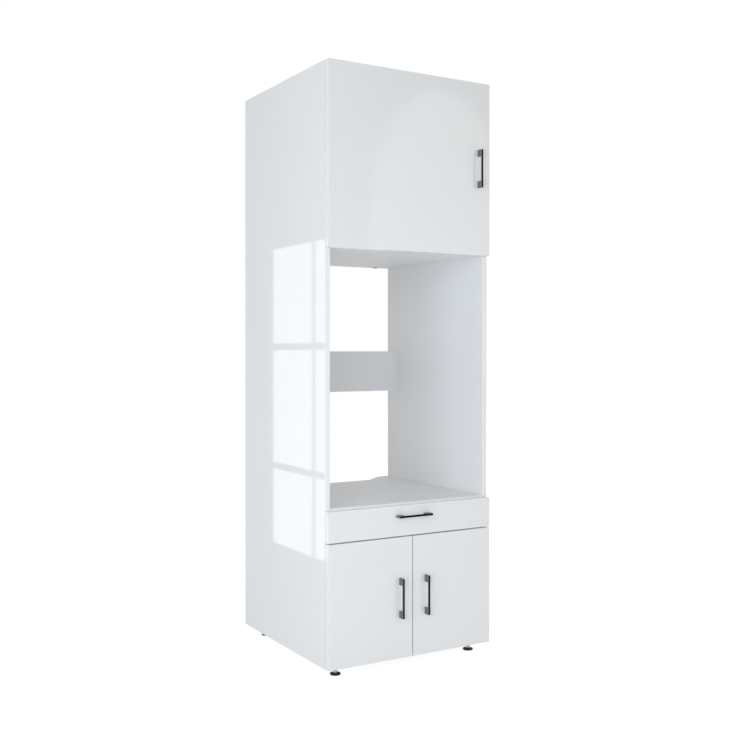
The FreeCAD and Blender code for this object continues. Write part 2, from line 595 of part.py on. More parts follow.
def hung_door(name, x, z, hung_right, arms, plates, plate_screws):
    """A door with its handle and hinges, drawn hung on the left, and turned over for the right."""
    turned = mirrored if hung_right else Part.Shape.copy
    side = 1 if hung_right else -1
    handle, handle_screws, cuts = bridge_handle(x[1] - HANDLE_EDGE, (z[0] + z[1]) / 2, True)
    cups, cup_screws = [], []
    for level in (z[0] + HINGE_INSET, z[1] - HINGE_INSET):
        cup, screws, borings = hinge_cup()
        plate, fixings, fixing_holes = hinge_plate()
        arm = hinge_arm()
        for shape in [cup, arm, plate] + screws + borings + fixings + fixing_holes:
            shape.translate(Vector(X_DOOR_EDGE, Y_DOOR_BACK, level))
        cups.append(turned(cup))
        cup_screws += [turned(screw) for screw in screws]
        cuts += borings
        arms.append(turned(arm))
        plates.append(turned(plate))
        plate_screws += [turned(screw) for screw in fixings]
        side_cuts[side] += [turned(hole) for hole in fixing_holes]
    add(name, turned(front_board(x, z).cut(cuts)))
    add(name + "_handle", turned(handle))
    add(name + "_handle_screws", *[turned(screw) for screw in handle_screws])
    add(name + "_hinge_cups", *cups)
    add(name + "_cup_screws", *cup_screws)


def doors():
    """The upper door and the pair of lower doors."""
    arms, plates, screws = [], [], []
    upper_x, lower_x = (X_DOOR_EDGE, -X_DOOR_EDGE), (X_DOOR_EDGE, -FRONT_JOINT / 2)
    upper_z, lower_z = (Z_CEILING, Z_TOP), (Z_BOTTOM, Z_DOOR_TOP)
    hung_door("upper_door", upper_x, upper_z, False, arms, plates, screws)
    hung_door("lower_left_door", lower_x, lower_z, False, arms, plates, screws)
    hung_door("lower_right_door", lower_x, lower_z, True, arms, plates, screws)
    add("hinge_arms", *arms)
    add("hinge_plates", *plates)
    add("hinge_plate_screws", *screws)


def drawer():
    """The drawer's front, box, bottom and fixings."""
    outer = X_IN - RUNNER_SPACE
    inner = outer - DRAWER_BOARD
    z_high = Z_DRAWER_SIDE + DRAWER_SIDE_HEIGHT
    z_sheet = Z_DRAWER_SIDE + DRAWER_BOTTOM_UP
    z_back = z_sheet + BACK_BOARD
    reach = GROOVE_DEPTH - EDGE_PLAY
    sheet_x, groove_x = (-inner - reach, inner + reach), (-inner - GROOVE_DEPTH, inner + GROOVE_DEPTH)
    bottom = block(sheet_x, (Y_DOOR_BACK - reach, Y_RUNNER_END), (z_sheet, z_back))
    groove_y = (Y_DOOR_BACK - GROOVE_DEPTH, Y_RUNNER_END)
    groove = block(groove_x, groove_y, (z_sheet - FIT, z_back + FIT))
    back = block((-inner, inner), (Y_RUNNER_END - DRAWER_BOARD, Y_RUNNER_END), (z_back, z_high))
    handle, handle_screws, front_cuts = bridge_handle(0, Z_DRAWER_TOP - DRAWER_HANDLE_DROP, False)
    front_cuts.append(groove)
    peg_y = (Y_DOOR_BACK - DOWEL_BITE, Y_DOOR_BACK + DOWEL_REACH)
    peg_hole_y = (peg_y[0] - EDGE_PLAY, peg_y[1] + EDGE_PLAY)
    y_screw = Y_RUNNER_END - DRAWER_BOARD / 2
    pegs, screws, back_cuts = [], [], []
    for side, name in ((-1, "drawer_left_side"), (1, "drawer_right_side")):
        cuts = [groove]
        x_middle = side * (inner + DRAWER_BOARD / 2)
        x_head, x_tip = side * outer, side * (outer - DRAWER_SCREW_LENGTH)
        sink = Vector(-side * DRAWER_SCREW_HEAD / 2, 0, 0)
        for z in (Z_DRAWER_SIDE + DRAWER_FIXING_LOW, z_high - DRAWER_FIXING_TOP):
            pegs.append(y_rod(DOWEL_RADIUS, x_middle, peg_y, z))
            peg_hole = y_rod(DOWEL_RADIUS + FIT, x_middle, peg_hole_y, z)
            front_cuts.append(peg_hole)
            start = Vector(x_head, y_screw, z)
            shank = x_rod(DRAWER_SCREW_RADIUS, (x_head, x_tip), y_screw, z)
            head = sunk_head(DRAWER_SCREW_HEAD, DRAWER_SCREW_RADIUS, start, sink)
            screws.append(joined(shank, head))
            head_cut = sunk_head(DRAWER_SCREW_HEAD + FIT, DRAWER_SCREW_RADIUS + FIT, start, sink)
            hole = x_rod(DRAWER_SCREW_RADIUS + FIT, (x_head, x_tip - side * EDGE_PLAY), y_screw, z)
            cuts += [peg_hole, head_cut, hole]
            back_cuts.append(hole)
        across = sorted((side * inner, side * outer))
        board = block(across, (Y_DOOR_BACK, Y_RUNNER_END), (Z_DRAWER_SIDE, z_high))
        add(name, board.cut(cuts))
    front = front_board((X_DOOR_EDGE, -X_DOOR_EDGE), (Z_DRAWER, Z_DRAWER_TOP))
    add("drawer_front", front.cut(front_cuts))
    add("drawer_back", back.cut(back_cuts))
    add("drawer_bottom", bottom)
    add("drawer_dowels", *pegs)
    add("drawer_screws", *screws)
    add("drawer_handle", handle)
    add("drawer_handle_screws", *handle_screws)


def roller_runners():
    """Cabinet rails with front rollers, and drawer rails with rear rollers, on both sides."""
    panel_face, drawer_face = -X_IN, RUNNER_SPACE - X_IN
    web_face, flange_end = panel_face + RUNNER_STEEL, panel_face + RAIL_FLANGE
    roller_x = (panel_face + ROLLER_START, panel_face + ROLLER_START + ROLLER_WIDTH)
    z_rail = Z_DRAWER_SIDE - RAIL_DROP
    z_track = z_rail + RUNNER_STEEL
    front_axis = (Y_FRONT + ROLLER_INSET, z_track + ROLLER_LIFT + ROLLER_RADIUS)
    rear_axis = (Y_RUNNER_END - ROLLER_INSET, z_track + ROLLER_GAP + ROLLER_RADIUS)
    z_rider = front_axis[1] + ROLLER_RADIUS + ROLLER_GAP
    rail_y = (Y_FRONT + EDGE_PLAY, Y_RUNNER_END)

    web = block((panel_face, web_face), rail_y, (z_rail, z_rail + RAIL_HEIGHT))
    track = block((panel_face, flange_end), rail_y, (z_rail, z_track))
    front_pin = x_rod(ROLLER_PIN_RADIUS, (panel_face, flange_end), *front_axis)
    cabinet_rail = joined(web, track, front_pin)
    z = z_rail + RAIL_HEIGHT - RAIL_SCREW_DROP
    screw_end = panel_face - PLATE_SCREW_BITE
    screws, borings = [], []
    for y in (Y_FRONT + RAIL_SCREW_FIRST, Y_RUNNER_END - RAIL_SCREW_LAST):
        shank = x_rod(PLATE_SCREW_RADIUS, (screw_end, web_face), y, z)
        head = x_rod(SCREW_HEAD_RADIUS, (web_face, web_face + PLATE_SCREW_RISE), y, z)
        screws.append(joined(shank, head))
        hole = x_rod(PLATE_SCREW_RADIUS + FIT, (screw_end - EDGE_PLAY, web_face), y, z)
        cabinet_rail = cabinet_rail.cut(hole)
        borings.append(hole)
    side_cuts[-1] += borings
    side_cuts[1] += [mirrored(hole) for hole in borings]

    drawer_web, z_lip = drawer_face - RUNNER_STEEL, Z_DRAWER_SIDE - RUNNER_STEEL
    upright = block((drawer_web, drawer_face), rail_y, (z_lip, z_rider + RUNNER_STEEL))
    rider = block((roller_x[0], drawer_face), rail_y, (z_rider, z_rider + RUNNER_STEEL))
    lip = block((drawer_web, drawer_face + DRAWER_BOARD), rail_y, (z_lip, Z_DRAWER_SIDE))
    rear_pin = x_rod(ROLLER_PIN_RADIUS, (roller_x[0], drawer_face), *rear_axis)
    drawer_rail = joined(upright, rider, lip, rear_pin)

    rollers = []
    for axis in (front_axis, rear_axis):
        bore = x_rod(ROLLER_PIN_RADIUS + FIT, roller_x, *axis)
        rollers.append(x_rod(ROLLER_RADIUS, roller_x, *axis).cut(bore))
    front_roller, rear_roller = rollers
    add("cabinet_rails", cabinet_rail, mirrored(cabinet_rail))
    add("cabinet_rail_screws", *screws, *[mirrored(screw) for screw in screws])
    add("drawer_rails", drawer_rail, mirrored(drawer_rail))
    add("front_rollers", front_roller, mirrored(front_roller))
    add("rear_rollers", rear_roller, mirrored(rear_roller))


def side_panels():
    """The two side panels, bored and grooved for all that they carry."""
    for side, name in ((-1, "left_side_panel"), (1, "right_side_panel")):
        panel = block(sorted((side * X_IN, side * X_OUT)), (Y_FRONT, Y_BACK), (Z_BOTTOM, Z_TOP))
        add(name, panel.cut(side_cuts[side]))


carcass_boards()
shelf_and_supports()
wall_brackets()
levelling_feet()
doors()
drawer()
roller_runners()
add("cam_locks", *cams)
add("cam_bolts", *bolts)
add("wood_dowels", *dowels)
side_panels()

os.makedirs("parts", exist_ok=True)
for name, shape in nodes.items():
    shape.exportStep("parts/" + name + ".step")
    print(name, len(shape.Solids), shape.isValid(), round(shape.Volume))
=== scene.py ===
"""Dresses a washing machine cabinet: finishes, small fittings, stage and light."""

import json
import math

import bmesh
import bpy
from bpy.props import FloatProperty, FloatVectorProperty, PointerProperty
from mathutils import Matrix, Vector


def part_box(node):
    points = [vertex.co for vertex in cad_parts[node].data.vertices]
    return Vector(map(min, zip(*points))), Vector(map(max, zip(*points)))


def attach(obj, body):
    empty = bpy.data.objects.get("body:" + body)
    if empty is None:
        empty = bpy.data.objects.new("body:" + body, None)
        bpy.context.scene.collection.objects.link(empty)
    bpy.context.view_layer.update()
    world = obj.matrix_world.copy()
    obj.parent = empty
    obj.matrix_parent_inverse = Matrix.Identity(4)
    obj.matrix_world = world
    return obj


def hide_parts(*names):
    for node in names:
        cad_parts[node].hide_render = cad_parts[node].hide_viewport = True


bl_info = {
    "name": "Washing machine cabinet",
    "version": (1, 0, 0),
    "blender": (4, 5, 0),
    "location": "3D View > Sidebar > Cabinet",
    "description": "Finishes, fittings, stage and light for a washing machine cabinet",
    "category": "Object",
}

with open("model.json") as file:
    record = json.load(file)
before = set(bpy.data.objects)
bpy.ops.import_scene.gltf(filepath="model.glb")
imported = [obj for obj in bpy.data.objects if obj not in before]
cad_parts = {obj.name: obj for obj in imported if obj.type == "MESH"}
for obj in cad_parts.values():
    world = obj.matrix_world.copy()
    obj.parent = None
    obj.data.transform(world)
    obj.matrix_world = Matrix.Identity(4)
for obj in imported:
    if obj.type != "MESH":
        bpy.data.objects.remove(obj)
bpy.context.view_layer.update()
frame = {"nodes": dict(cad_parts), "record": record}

MM = 0.001
UP = Vector((0, 0, 1))
TO_WALL = Vector((0, 1, 0))

# Boards with a band on the front edge and bare chips on the rear one
CORE_BOARDS = (
    "left_side_panel", "right_side_panel", "top_panel", "niche_ceiling", "niche_floor",
    "drawer_divider", "bottom_panel", "upper_shelf",
)
# Boards with gloss film in front and satin film behind
FRONTS = ("upper_door", "lower_left_door", "lower_right_door", "drawer_front")
# Boards whose cam locks open up or down
LEVEL_BOARDS = ("top_panel", "niche_ceiling", "niche_floor", "drawer_divider", "bottom_panel")
FEET = ("front_left_foot", "front_right_foot", "rear_left_foot", "rear_right_foot")

# The hole for the cable in the niche ceiling
CABLE_HOLE = (0.235, 0.320)
CABLE_HOLE_RADIUS = 13.0 * MM

# Camera at the photograph's viewing angle: metres, degrees, millimetres, share of the picture
CAMERA_PLACE = (-1.8827, -3.1910, 1.0817)
CAMERA_TURN = -30.69
CAMERA_LENS = 48.98
CAMERA_SHIFT = -0.0249

# Soft square lamps, which light the cabinet and stay out of the gloss: where each stands, the
# height on the cabinet that it faces, its side and its tint. Its power is the light's property
# of the same name.
SOFT_BOXES = {
    "softbox": (Vector((-2.5, -2.0, 1.2)), 1.0, 2.2, "#E8F4FF"),
    "fill_box": (Vector((3.0, 0.4, 1.2)), 1.0, 2.2, "#FFFFFF"),
    "front_box": (Vector((0.3, -1.7, 0.6)), 0.6, 0.9, "#FFFFFF"),
}

# Lamps that show in the gloss alone: an oval one on the upper door, and six upright panes on the
# left side, in columns from and to a depth and rows from and to a height
OVAL_PLACE = Vector((1.32, -2.04, 1.67))
OVAL_SIZE = (0.96, 1.72)
OVAL_TINT = "#FFF8F0"
PANES_X = -1.2
PANE_COLUMNS = ((1.300, 1.428), (1.464, 1.935))
PANE_ROWS = ((0.0, 0.415), (0.451, 1.080), (1.116, 1.645))

# World and floor: the floor glows a little where it is seen, so that it is white but for shadow
AMBIENT_TINT = "#FFFDF8"
FLOOR_HALF = 12.0
FLOOR_PALE = "#F0F0F0"
FLOOR_SHADED = "#A0A0A0"
FLOOR_GLOW = 0.88

# A face comes to count as turned away between these shares of its normal
FACING_AWAY = {"From Min": 0.3, "From Max": 0.35}
# Roughness of the gloss film on the outer sides, of the satin film behind the fronts and of chips
OUTER_GLOSS = 0.04
SATIN_REAR = 0.36
BARE_CHIPS = 0.85


def hex_to_linear(text):
    """A hex colour as linear red, green and blue."""
    channels = [int(text[i:i + 2], 16) / 255 for i in (1, 3, 5)]
    return tuple(c / 12.92 if c <= 0.04045 else ((c + 0.055) / 1.055) ** 2.4 for c in channels)


class CabinetSizes(bpy.types.PropertyGroup):
    """Sizes of the small fittings."""

    band: FloatProperty(
        name="Edge band", description="Thickness of the band on the boards' front edges",
        default=1.0 * MM, min=0.3 * MM, max=2.0 * MM, precision=4, unit="LENGTH")
    cap_radius: FloatProperty(
        name="Cap radius", description="Radius of the caps over the cam locks",
        default=8.8 * MM, min=7.6 * MM, max=12.0 * MM, precision=4, unit="LENGTH")
    cap_rise: FloatProperty(
        name="Cap rise", description="How far a cap stands off its board",
        default=1.1 * MM, min=0.5 * MM, max=2.0 * MM, precision=4, unit="LENGTH")
    bumper_radius: FloatProperty(
        name="Bumper radius", description="Radius of the soft dots behind the fronts",
        default=3.0 * MM, min=2.0 * MM, max=5.0 * MM, precision=4, unit="LENGTH")
    bumper_rise: FloatProperty(
        name="Bumper rise", description="How far a soft dot stands off its front",
        default=1.7 * MM, min=0.8 * MM, max=2.0 * MM, precision=4, unit="LENGTH")
    thread_pitch: FloatProperty(
        name="Thread pitch", description="Rise of a foot stud's thread in one turn",
        default=1.25 * MM, min=0.8 * MM, max=2.0 * MM, precision=5, unit="LENGTH")
    grommet_flange: FloatProperty(
        name="Grommet flange", description="Radius of the cable grommet's flange",
        default=15.5 * MM, min=14.0 * MM, max=18.0 * MM, precision=4, unit="LENGTH")
    bush_radius: FloatProperty(
        name="Bush radius", description="Radius of the soft bush in the cable grommet",
        default=8.5 * MM, min=6.0 * MM, max=10.0 * MM, precision=4, unit="LENGTH")


def colour_property(name, text, description):
    """A colour that a user may change, with a hex colour as its default."""
    return FloatVectorProperty(
        name=name, description=description, subtype="COLOR", size=3, min=0.0, max=1.0,
        default=hex_to_linear(text))


class CabinetColours(bpy.types.PropertyGroup):
    """Colours of the finishes."""

    front: colour_property("Front", "#F2F3F5", "Gloss film on the doors and the drawer front")
    board: colour_property("Board", "#EFF0F2", "Film on the cabinet's boards")
    core: colour_property("Core", "#B4926A", "Pressed chips on an unbanded edge")
    fibre: colour_property("Fibre", "#8A6847", "Bare side of the hardboard")
    band: colour_property("Band", "#F7F8F9", "Plastic band on the front edges")
    handle: colour_property("Handle", "#0C0C0D", "Lacquer on the front of the handles")
    # Painted sheen: the handles' sides get this lighter tone in place of the light that they catch
    handle_side_sheen: colour_property("Handle side", "#767677", "Blackened sides of the handles")
    nylon: colour_property("Nylon", "#E3E3DD", "Rollers, cam caps and cable grommet")
    rail: colour_property("Rail", "#E4E4E0", "Stove enamel on the drawer runners")
    plastic: colour_property("Plastic", "#161617", "Foot pads and the bush for the cable")
    nickel: colour_property("Nickel", "#C4C0B8", "Plating on the hinges")
    zinc: colour_property("Zinc", "#B3B8BE", "Plating on screws, studs and brackets")
    beech: colour_property("Beech", "#C79F6B", "Dowels")
    rubber: colour_property("Rubber", "#E4E6E6", "Soft dots behind the fronts")


class CabinetLight(bpy.types.PropertyGroup):
    """Strength of the stage's light."""

    ambient: FloatProperty(
        name="Ambient", description="Strength of the soft light from all round",
        default=0.54, min=0.0, max=2.0)
    softbox: FloatProperty(
        name="Softbox", description="Power of the large lamp in front, on the left",
        default=43.0, min=0.0, max=500.0, unit="POWER")
    front_box: FloatProperty(
        name="Front box", description="Power of the low lamp in front",
        default=1.8, min=0.0, max=100.0, unit="POWER")
    fill_box: FloatProperty(
        name="Fill box", description="Power of the large lamp on the right",
        default=20.0, min=0.0, max=500.0, unit="POWER")
    oval_box: FloatProperty(
        name="Oval box", description="Power of the oval lamp in front, on the right",
        default=4.6, min=0.0, max=100.0, unit="POWER")
    panes: FloatProperty(
        name="Panes", description="Power of one square metre of the six panes on the left",
        default=5.2, min=0.0, max=50.0)


# --- Materials -----------------------------------------------------------------------------


def add_node(tree, kind, inputs=(), **settings):
    """Adds a node with its settings, and gives its inputs values or links."""
    node = tree.nodes.new("ShaderNode" + kind)
    for name, value in settings.items():
        setattr(node, name, value)
    for key, value in dict(inputs).items():
        if isinstance(value, bpy.types.NodeSocket):
            tree.links.new(value, node.inputs[key])
        else:
            node.inputs[key].default_value = value
    return node


def start_material(name, **constants):
    """A material with one surface shader, whose fixed values go on its own sockets."""
    material = bpy.data.materials.new(name)
    material.use_nodes = True
    tree = material.node_tree
    tree.nodes.clear()
    shader = add_node(tree, "BsdfPrincipled", {
        key.replace("_", " "): value for key, value in constants.items()})
    add_node(tree, "OutputMaterial", {"Surface": shader.outputs[0]})
    return material, tree, shader


def link_surface(tree, shader, tone, sheen, bump):
    """Gives a shader its colour, roughness and bump."""
    for socket, output in (("Base Color", tone), ("Roughness", sheen), ("Normal", bump)):
        tree.links.new(output, shader.inputs[socket])


def toned(colour, share=1.0):
    """A colour with its alpha, lighter or darker by a share."""
    return tuple(min(c * share, 1.0) for c in colour) + (1.0,)


def white_film(name, colours, film, dull, bright, ripple_depth, satin_rear=False, core=False):
    """Melamine film pressed on particle board: a white skin that ripples over the chips below
    it, so what it mirrors wavers a little, and that wiping leaves a touch uneven. The film is
    glossy on the fronts and the cabinet's outer sides, and satin inside. Bare edges show the
    pressed chips."""
    material, tree, shader = start_material(name, IOR=1.5)
    coords = add_node(tree, "TexCoord")
    spot = coords.outputs["Object"]
    tone = add_node(tree, "TexNoise", {"Vector": spot, "Scale": 1 / (260 * MM), "Detail": 2.0})
    skin = add_node(tree, "Mix", {
        0: tone.outputs["Fac"], 6: toned(film, 0.985), 7: toned(film, 1.012),
    }, data_type="RGBA").outputs[2]
    wiped = add_node(tree, "TexNoise", {"Vector": spot, "Scale": 1 / (90 * MM), "Detail": 4.0})
    sheen = add_node(tree, "MapRange", {
        "Value": wiped.outputs["Fac"], "From Min": 0.3, "From Max": 0.7,
        "To Min": bright, "To Max": dull}).outputs[0]
    ripple = add_node(tree, "TexNoise", {"Vector": spot, "Scale": 1 / (38 * MM), "Detail": 1.0})
    height = ripple.outputs["Fac"]
    facing = add_node(tree, "SeparateXYZ", {0: coords.outputs["Normal"]}).outputs["Y"]
    rear = add_node(tree, "MapRange", {"Value": facing, **FACING_AWAY}).outputs[0]
    if satin_rear:
        sheen = add_node(tree, "Mix", {0: rear, 2: sheen, 3: SATIN_REAR}).outputs[0]
    if core:
        split = add_node(tree, "SeparateXYZ", {0: spot})
        across = add_node(tree, "Math", {0: split.outputs["X"]}, operation="ABSOLUTE")
        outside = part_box("right_side_panel")[1].x
        outer = add_node(tree, "MapRange", {
            "Value": across.outputs[0], "From Min": outside - 1.5 * MM,
            "From Max": outside - 0.5 * MM}).outputs[0]
        sheen = add_node(tree, "Mix", {0: outer, 2: sheen, 3: OUTER_GLOSS}).outputs[0]
        # Chips are about 3 mm and stand six times as high as the film's ripple
        chips = add_node(tree, "TexVoronoi", {"Vector": spot, "Scale": 1 / (3 * MM)})
        shade = add_node(tree, "SeparateXYZ", {0: chips.outputs["Color"]}).outputs["X"]
        chipped = add_node(tree, "Mix", {
            0: shade, 6: toned(colours.core, 0.62), 7: toned(colours.core, 1.25),
        }, data_type="RGBA").outputs[2]
        skin = add_node(tree, "Mix", {0: rear, 6: skin, 7: chipped}, data_type="RGBA").outputs[2]
        sheen = add_node(tree, "Mix", {0: rear, 2: sheen, 3: BARE_CHIPS}).outputs[0]
        grain = add_node(tree, "Math", {
            0: chips.outputs["Distance"], 1: rear}, operation="MULTIPLY").outputs[0]
        height = add_node(tree, "Math", {
            0: grain, 1: 6.0, 2: height}, operation="MULTIPLY_ADD").outputs[0]
    bump = add_node(tree, "Bump", {"Strength": 0.25, "Distance": ripple_depth, "Height": height})
    link_surface(tree, shader, skin, sheen, bump.outputs[0])
    return material


def hardboard(colours):
    """Pressed wood fibre, painted white on one side. Its other side is brown and carries the
    print of the wire screen that it was pressed on."""
    material, tree, shader = start_material("painted_hardboard", IOR=1.5)
    coords = add_node(tree, "TexCoord")
    spot = coords.outputs["Object"]
    facing = add_node(tree, "SeparateXYZ", {0: coords.outputs["Normal"]})
    under = add_node(tree, "Math", {0: facing.outputs["Z"], 1: -1.0}, operation="MULTIPLY")
    away = add_node(tree, "Math", {
        0: facing.outputs["Y"], 1: under.outputs[0]}, operation="MAXIMUM").outputs[0]
    bare = add_node(tree, "MapRange", {"Value": away, **FACING_AWAY}).outputs[0]
    fibres = add_node(tree, "TexNoise", {"Vector": spot, "Scale": 1 / (4 * MM), "Detail": 6.0})
    brown = add_node(tree, "Mix", {
        0: fibres.outputs["Fac"], 6: toned(colours.fibre, 0.6), 7: toned(colours.fibre, 1.4),
    }, data_type="RGBA").outputs[2]
    paint = add_node(tree, "TexNoise", {"Vector": spot, "Scale": 1 / (70 * MM), "Detail": 3.0})
    white = add_node(tree, "Mix", {
        0: paint.outputs["Fac"], 6: toned(colours.board, 0.93), 7: toned(colours.board, 0.98),
    }, data_type="RGBA").outputs[2]
    skin = add_node(tree, "Mix", {0: bare, 6: white, 7: brown}, data_type="RGBA").outputs[2]
    sheen = add_node(tree, "MapRange", {"Value": bare, "To Min": 0.38, "To Max": 0.8}).outputs[0]
    # The screen's wires stand 2.5 mm apart, drawn coarser than real ones so that they show
    split = add_node(tree, "SeparateXYZ", {0: spot})
    depth = add_node(tree, "Math", {0: split.outputs["Y"], 1: split.outputs["Z"]})
    wires = [
        add_node(tree, "Math", {0: axis, 1: 2 * math.pi / (2.5 * MM)}, operation="MULTIPLY")
        for axis in (split.outputs["X"], depth.outputs[0])]
    waves = [add_node(tree, "Math", {0: wire.outputs[0]}, operation="SINE") for wire in wires]
    screen = add_node(tree, "Math", {
        0: waves[0].outputs[0], 1: waves[1].outputs[0]}, operation="MULTIPLY")
    pressed = add_node(tree, "Math", {0: screen.outputs[0], 1: bare}, operation="MULTIPLY")
    bump = add_node(tree, "Bump", {
        "Strength": 0.35, "Distance": 0.25 * MM, "Height": pressed.outputs[0]})
    link_surface(tree, shader, skin, sheen, bump.outputs[0])
    return material


def fine_grained(name, colour, roughness, grit, depth, ior=1.5):
    """Moulded or extruded plastic, or enamel stoved on steel: an even colour and a soft shine,
    with the fine grain that the mould, die or stove leaves. Real grain is about a third of a
    millimetre, drawn coarser so that it shows."""
    material, tree, shader = start_material(name, IOR=ior)
    spot = add_node(tree, "TexCoord").outputs["Object"]
    grain = add_node(tree, "TexNoise", {"Vector": spot, "Scale": 1 / grit, "Detail": 3.0})
    tone = add_node(tree, "Mix", {
        0: grain.outputs["Fac"], 6: toned(colour, 0.92), 7: toned(colour, 1.06),
    }, data_type="RGBA").outputs[2]
    sheen = add_node(tree, "MapRange", {
        "Value": grain.outputs["Fac"], "To Min": roughness - 0.06, "To Max": roughness + 0.06})
    bump = add_node(tree, "Bump", {
        "Strength": 0.3, "Distance": depth, "Height": grain.outputs["Fac"]})
    link_surface(tree, shader, tone, sheen.outputs[0], bump.outputs[0])
    return material


def lacquered_handle(colours):
    """Cast zinc, lacquered matt black: the front is deep black, and the sides get a painted sheen,
    a lighter tone that stands in for the light they catch, with the fine grain of the casting."""
    material, tree, shader = start_material(
        "black_lacquered_zinc", IOR=1.5, Specular_IOR_Level=0.06)
    coords = add_node(tree, "TexCoord")
    forward = add_node(tree, "SeparateXYZ", {0: coords.outputs["Normal"]}).outputs["Y"]
    # Faces turned from the front take the painted sheen, a lighter tone standing in for light on
    # the handles' sides
    side = add_node(tree, "MapRange", {"Value": forward, "From Min": -0.85, "From Max": -0.5})
    grain = add_node(tree, "TexNoise", {
        "Vector": coords.outputs["Object"], "Scale": 1 / (0.9 * MM), "Detail": 3.0})
    painted_sheen = add_node(tree, "Mix", {
        0: grain.outputs["Fac"], 6: toned(colours.handle_side_sheen, 0.85),
        7: toned(colours.handle_side_sheen, 1.15)}, data_type="RGBA")
    tone = add_node(tree, "Mix", {
        0: side.outputs[0], 6: toned(colours.handle), 7: painted_sheen.outputs[2]}, data_type="RGBA")
    sheen = add_node(tree, "MapRange", {
        "Value": grain.outputs["Fac"], "To Min": 0.38, "To Max": 0.52})
    bump = add_node(tree, "Bump", {
        "Strength": 0.3, "Distance": 0.06 * MM, "Height": grain.outputs["Fac"]})
    link_surface(tree, shader, tone.outputs[2], sheen.outputs[0], bump.outputs[0])
    return material


def plated_steel(name, colour, roughness, cloud):
    """Bright plating on pressed steel: a metal shine that clouds over from place to place, with
    fine rub marks along the pressing."""
    material, tree, shader = start_material(name, Metallic=1.0)
    spot = add_node(tree, "TexCoord").outputs["Object"]
    clouds = add_node(tree, "TexNoise", {"Vector": spot, "Scale": 1 / cloud, "Detail": 4.0})
    tone = add_node(tree, "Mix", {
        0: clouds.outputs["Fac"], 6: toned(colour, 0.88), 7: toned(colour, 1.08),
    }, data_type="RGBA").outputs[2]
    along = add_node(tree, "Mapping", {"Vector": spot, "Scale": (1.0, 12.0, 1.0)})
    rubs = add_node(tree, "TexNoise", {
        "Vector": along.outputs[0], "Scale": 1 / (3 * MM), "Detail": 2.0})
    sheen = add_node(tree, "MapRange", {
        "Value": rubs.outputs["Fac"], "To Min": roughness - 0.08, "To Max": roughness + 0.1})
    bump = add_node(tree, "Bump", {
        "Strength": 0.12, "Distance": 0.03 * MM, "Height": rubs.outputs["Fac"]})
    link_surface(tree, shader, tone, sheen.outputs[0], bump.outputs[0])
    return material


def beech(colours):
    """Turned beech: pale pinkish wood with short dark flecks along the dowel."""
    material, tree, shader = start_material("beech_dowel", IOR=1.5, Roughness=0.6)
    spot = add_node(tree, "TexCoord").outputs["Object"]
    along = add_node(tree, "Mapping", {"Vector": spot, "Scale": (1.0, 8.0, 8.0)})
    flecks = add_node(tree, "TexNoise", {
        "Vector": along.outputs[0], "Scale": 1 / (6 * MM), "Detail": 5.0})
    tone = add_node(tree, "Mix", {
        0: flecks.outputs["Fac"], 6: toned(colours.beech, 0.7), 7: toned(colours.beech, 1.15),
    }, data_type="RGBA").outputs[2]
    tree.links.new(tone, shader.inputs["Base Color"])
    return material


def clear_rubber(colours):
    """Cast clear polyurethane: a soft see-through drop, slightly milky inside."""
    material, tree, shader = start_material(
        "clear_rubber", IOR=1.48, Transmission_Weight=0.7, Base_Color=toned(colours.rubber))
    spot = add_node(tree, "TexCoord").outputs["Object"]
    milk = add_node(tree, "TexNoise", {"Vector": spot, "Scale": 1 / (2 * MM)})
    sheen = add_node(tree, "MapRange", {
        "Value": milk.outputs["Fac"], "To Min": 0.15, "To Max": 0.3})
    tree.links.new(sheen.outputs[0], shader.inputs["Roughness"])
    return material


def finish(name):
    """A finish that has been made already."""
    material = bpy.data.materials.get(name)
    if material is None:
        raise RuntimeError("The finishes have to be made first: there is no " + name)
    return material


# --- Shapes --------------------------------------------------------------------------------


def turned(profile, steps, closed=False):
    """A shape turned about Z from a profile of radius and height."""
    bm = bmesh.new()
    verts = [bm.verts.new((radius, 0, height)) for radius, height in profile]
    pairs = list(zip(verts, verts[1:])) + ([(verts[-1], verts[0])] if closed else [])
    edges = [bm.edges.new(pair) for pair in pairs]
    bmesh.ops.spin(
        bm, geom=verts + edges, axis=UP, cent=(0, 0, 0), angle=2 * math.pi, steps=steps,
        use_merge=True)
    bmesh.ops.remove_doubles(bm, verts=bm.verts, dist=0.002 * MM)
    bmesh.ops.recalc_face_normals(bm, faces=bm.faces)
    return bm


def place(bm, shape, spot, outward):
    """Adds a shape that points up to a mesh, at its spot and pointing outward."""
    turn = UP.rotation_difference(outward).to_matrix()
    bmesh.ops.rotate(shape, verts=shape.verts, cent=(0, 0, 0), matrix=turn)
    bmesh.ops.translate(shape, verts=shape.verts, vec=spot)
    mesh = bpy.data.meshes.new("shape")
    shape.to_mesh(mesh)
    shape.free()
    bm.from_mesh(mesh)
    bpy.data.meshes.remove(mesh)


def edge_strip(low, high, rounding):
    """A strip on a front edge, with its outer corners eased."""
    bm = bmesh.new()
    bmesh.ops.create_cube(bm, size=1.0)
    bmesh.ops.scale(bm, vec=high - low, verts=bm.verts)
    bmesh.ops.translate(bm, vec=(low + high) / 2, verts=bm.verts)
    outer = [e for e in bm.edges if all(v.co.y < low.y + 0.1 * MM for v in e.verts)]
    bmesh.ops.bevel(
        bm, geom=outer, offset=rounding, segments=3, profile=0.5, affect="EDGES", material=-1)
    return bm


def ring_edges(verts):
    """The edges of a ring of points, each once."""
    return list(dict.fromkeys(edge for v in verts for edge in v.link_edges))


def next_ring(bm, edges):
    """Extrudes a ring of edges, and gives the new ring's points and edges."""
    made = bmesh.ops.extrude_edge_only(bm, edges=edges)["geom"]
    verts = [v for v in made if isinstance(v, bmesh.types.BMVert)]
    held = set(verts)
    ring = [e for e in made if isinstance(e, bmesh.types.BMEdge) and held.issuperset(e.verts)]
    return verts, ring


